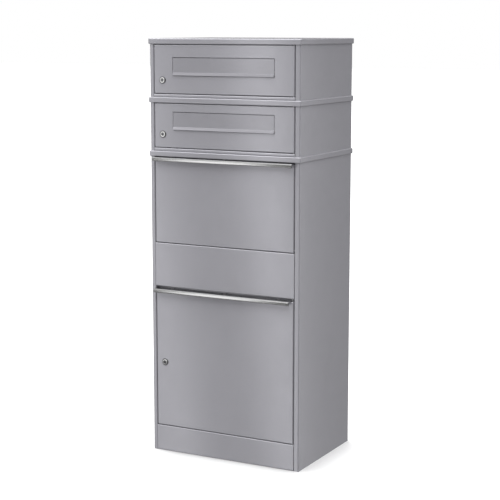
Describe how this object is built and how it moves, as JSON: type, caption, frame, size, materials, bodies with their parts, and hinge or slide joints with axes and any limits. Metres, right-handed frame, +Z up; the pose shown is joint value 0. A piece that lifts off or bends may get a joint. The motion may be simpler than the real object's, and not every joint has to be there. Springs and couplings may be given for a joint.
{
  "type": "cluster mailbox unit",
  "caption": "Free-standing steel mail tower: stacked letterboxes with insert flaps and cam locks over a parcel cabinet with a tilting drop hatch and a locked collection door.",
  "frame": {"origin": "middle of the bounding box's footprint, on the floor", "axes": "+Z up, the doors face -Y, +X is to the right as the user faces the doors"},
  "size_m": [0.421, 0.3166, 1.05],
  "materials": {
    "grey_paint": "satin silver-grey powder coat",
    "galvanised": "galvanised sheet",
    "polished_strip": "polished stainless profile",
    "lock_chrome": "bright nickel plate",
    "lock_core": "dark satin nickel",
    "zinc": "zinc plated",
    "rubber": "matt black",
    "nylon": "black nylon"
  },
  "bodies": {
    "housing": {"cabinet_left_side": "grey_paint", "cabinet_right_side": "grey_paint", "cabinet_back_panel": "grey_paint", "cabinet_top_pan": "grey_paint", "cabinet_header_rail": "grey_paint", "fixed_middle_panel": "grey_paint", "plinth_panel": "grey_paint", "cabinet_base_pan": "galvanised", "chamber_floor_tray": "galvanised", "hatch_pivot_bushes": "nylon", "hatch_stop_brackets": "zinc", "middle_left_side": "grey_paint", "middle_right_side": "grey_paint", "middle_back_panel": "grey_paint", "middle_floor_pan": "grey_paint", "middle_top_pan": "grey_paint", "middle_header_rail": "grey_paint", "upper_left_side": "grey_paint", "upper_right_side": "grey_paint", "upper_back_panel": "grey_paint", "upper_floor_pan": "grey_paint", "top_lid": "grey_paint", "upper_header_rail": "grey_paint", "door_hinge_pins": "zinc", "joining_bolts": "zinc", "joining_nuts": "zinc", "rubber_buffers": "rubber"},
    "upper_door": {"upper_door": "grey_paint", "upper_flap_brackets": "zinc", "upper_lock_housing": "lock_chrome", "upper_lock_nut": "zinc"},
    "upper_flap": {"upper_insert_flap": "grey_paint", "upper_flap_axle": "zinc"},
    "upper_lock": {"upper_lock_plug": "lock_core", "upper_lock_cam": "zinc", "upper_cam_screw": "zinc"},
    "middle_door": {"middle_door": "grey_paint", "middle_flap_brackets": "zinc", "middle_lock_housing": "lock_chrome", "middle_lock_nut": "zinc"},
    "middle_flap": {"middle_insert_flap": "grey_paint", "middle_flap_axle": "zinc"},
    "middle_lock": {"middle_lock_plug": "lock_core", "middle_lock_cam": "zinc", "middle_cam_screw": "zinc"},
    "parcel_door": {"parcel_door": "grey_paint", "parcel_door_handle_strip": "polished_strip", "parcel_door_strip_screws": "zinc", "parcel_lock_housing": "lock_chrome", "parcel_lock_nut": "zinc"},
    "parcel_lock": {"parcel_lock_plug": "lock_core", "parcel_lock_cam": "zinc", "parcel_cam_screw": "zinc"},
    "hatch": {"hatch_panel": "grey_paint", "hatch_handle_strip": "polished_strip", "hatch_strip_screws": "zinc", "hatch_tray": "galvanised", "hatch_left_cheek": "galvanised", "hatch_right_cheek": "galvanised", "hatch_pivot_pins": "zinc"}
  },
  "joints": [
    {"name": "upper_door_hinge", "type": "hinge", "parent": "housing", "child": "upper_door", "pos_m": [0.18875, -0.13995, 0.9662], "axis": [0, 0, 1], "range_deg": [0, 100]},
    {"name": "upper_flap_hinge", "type": "hinge", "parent": "upper_door", "child": "upper_flap", "pos_m": [-0.0016, -0.13905, 0.9992], "axis": [-1, 0, 0], "range_deg": [0, 70]},
    {"name": "upper_lock_turn", "type": "hinge", "parent": "upper_door", "child": "upper_lock", "pos_m": [-0.171, -0.14325, 0.9481], "axis": [0, 1, 0], "range_deg": [0, 90]},
    {"name": "middle_door_hinge", "type": "hinge", "parent": "housing", "child": "middle_door", "pos_m": [0.18875, -0.13995, 0.8328], "axis": [0, 0, 1], "range_deg": [0, 100]},
    {"name": "middle_flap_hinge", "type": "hinge", "parent": "middle_door", "child": "middle_flap", "pos_m": [-0.0016, -0.13905, 0.8658], "axis": [-1, 0, 0], "range_deg": [0, 70]},
    {"name": "middle_lock_turn", "type": "hinge", "parent": "middle_door", "child": "middle_lock", "pos_m": [-0.171, -0.14325, 0.8147], "axis": [0, 1, 0], "range_deg": [0, 90]},
    {"name": "parcel_door_hinge", "type": "hinge", "parent": "housing", "child": "parcel_door", "pos_m": [0.18875, -0.13995, 0.245], "axis": [0, 0, 1], "range_deg": [0, 90]},
    {"name": "parcel_lock_turn", "type": "hinge", "parent": "parcel_door", "child": "parcel_lock", "pos_m": [-0.171, -0.14325, 0.2341], "axis": [0, 1, 0], "range_deg": [0, 90]},
    {"name": "hatch_hinge", "type": "hinge", "parent": "housing", "child": "hatch", "pos_m": [-0.0016, -0.13825, 0.54785], "axis": [1, 0, 0], "range_deg": [0, 50]}
  ]
}
